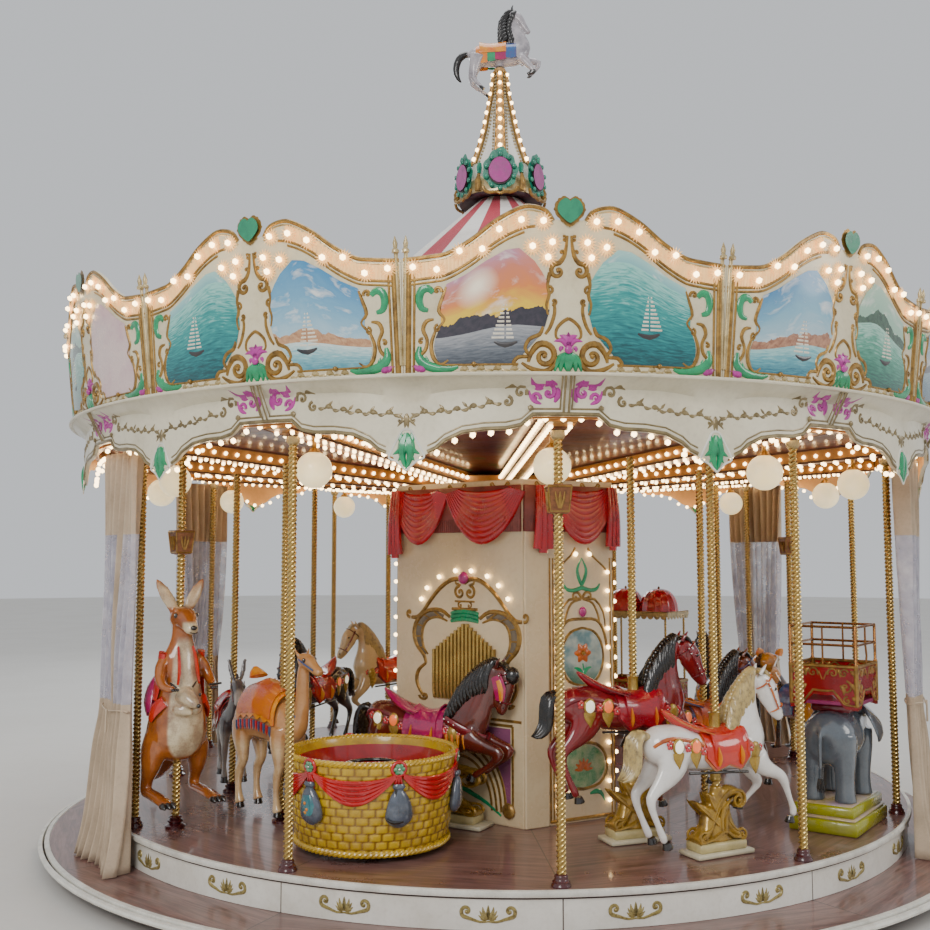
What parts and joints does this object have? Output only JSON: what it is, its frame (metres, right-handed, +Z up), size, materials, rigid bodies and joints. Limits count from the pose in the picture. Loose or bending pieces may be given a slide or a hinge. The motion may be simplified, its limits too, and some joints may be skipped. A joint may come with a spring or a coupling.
{
  "type": "fairground carousel",
  "caption": "Round fairground ride with a turning deck of animal figures under a painted, bulb-lit crown and a striped roof with a spire.",
  "frame": {"origin": "on the axis of rotation, at the ground", "axes": "+Z up along the axis of rotation, -Y towards the front that the picture shows, +X to its right"},
  "size_m": [7.9416, 7.9416, 7.7366],
  "materials": {
    "frame_steel": "dark grey paint",
    "deck_boards": "glossy purple-brown varnish",
    "step_boards": "dull brown boards with a cream rim",
    "skirt_white": "gloss off-white paint",
    "drum_panel": "gloss cream glass-reinforced panel",
    "valance_red": "gloss red moulded drapery",
    "sweep_gold": "gold paint",
    "ceiling_paint": "dark painted panels",
    "fascia_cream": "gloss cream with gilded relief",
    "crown_cream": "gloss cream with gilded relief",
    "roof_canvas": "red and white striped canvas",
    "spire_white": "gloss white with gilded flutes",
    "pole_gold": "polished twisted brass",
    "pedestal_gold": "gilded scrollwork",
    "curtain_cloth": "beige canvas with a clear band",
    "basket_yellow": "gloss yellow wicker relief",
    "pivot_black": "gloss black paint",
    "coach_red": "gloss red with gold trim",
    "coat_white": "gloss white coat",
    "coat_maroon": "gloss maroon coat",
    "coat_bay": "gloss bay coat",
    "coat_dark": "gloss dark brown coat",
    "coat_grey": "gloss grey coat",
    "coat_tan": "gloss tan coat",
    "coat_orange": "gloss orange coat with dark stripes"
  },
  "bodies": {
    "base": {"ground_frame": "frame_steel"},
    "rotor": {"basket_pivot": "pivot_black", "bay_horse": "coat_bay", "black_horse": "coat_dark", "brown_horse": "coat_dark", "brown_pedestal": "pedestal_gold", "camel": "coat_tan", "carriage": "coach_red", "ceiling": "ceiling_paint", "cream_horse": "coat_white", "crown_board_1": "crown_cream", "crown_board_2": "crown_cream", "crown_board_3": "crown_cream", "crown_board_4": "crown_cream", "crown_board_5": "crown_cream", "crown_board_6": "crown_cream", "curtain_front_left": "curtain_cloth", "curtain_front_right": "curtain_cloth", "curtain_rear_left": "curtain_cloth", "curtain_rear_right": "curtain_cloth", "deck": "deck_boards", "donkey": "coat_grey", "drape_valance": "valance_red", "drum_organ_front": "drum_panel", "drum_organ_rear": "drum_panel", "drum_portrait_left": "drum_panel", "drum_portrait_right": "drum_panel", "drum_side_left": "drum_panel", "drum_side_right": "drum_panel", "elephant": "coat_grey", "fascia_ring": "fascia_cream", "grey_horse": "coat_grey", "howdah": "coach_red", "kangaroo": "coat_tan", "left_pony": "coat_white", "maroon_pedestal": "pedestal_gold", "outer_pole_1": "pole_gold", "outer_pole_10": "pole_gold", "outer_pole_11": "pole_gold", "outer_pole_12": "pole_gold", "outer_pole_2": "pole_gold", "outer_pole_3": "pole_gold", "outer_pole_4": "pole_gold", "outer_pole_5": "pole_gold", "outer_pole_6": "pole_gold", "outer_pole_7": "pole_gold", "outer_pole_8": "pole_gold", "outer_pole_9": "pole_gold", "rear_pony": "coat_bay", "roof_canopy": "roof_canvas", "skirt_ring": "skirt_white", "spire": "spire_white", "step_ring": "step_boards", "sweep_frame": "sweep_gold", "tiger": "coat_orange", "top_horse": "coat_grey", "white_pedestal": "pedestal_gold"},
    "basket": {"basket_tub": "basket_yellow"},
    "maroon_jumper": {"maroon_horse": "coat_maroon"},
    "white_jumper": {"white_horse": "coat_white"}
  },
  "joints": [
    {"name": "carousel_spin", "type": "hinge", "parent": "base", "child": "rotor", "pos_m": [0, 0, 0], "axis": [0, 0, 1], "continuous": true},
    {"name": "basket_spin", "type": "hinge", "parent": "rotor", "child": "basket", "pos_m": [-0.9148, -2.4338, 0.44], "axis": [0, 0, 1], "continuous": true},
    {"name": "maroon_jump", "type": "slide", "parent": "rotor", "child": "maroon_jumper", "axis": [0, 0, 1], "range_m": [0, 0.15]},
    {"name": "white_jump", "type": "slide", "parent": "rotor", "child": "white_jumper", "axis": [0, 0, 1], "range_m": [0, 0.15]}
  ]
}
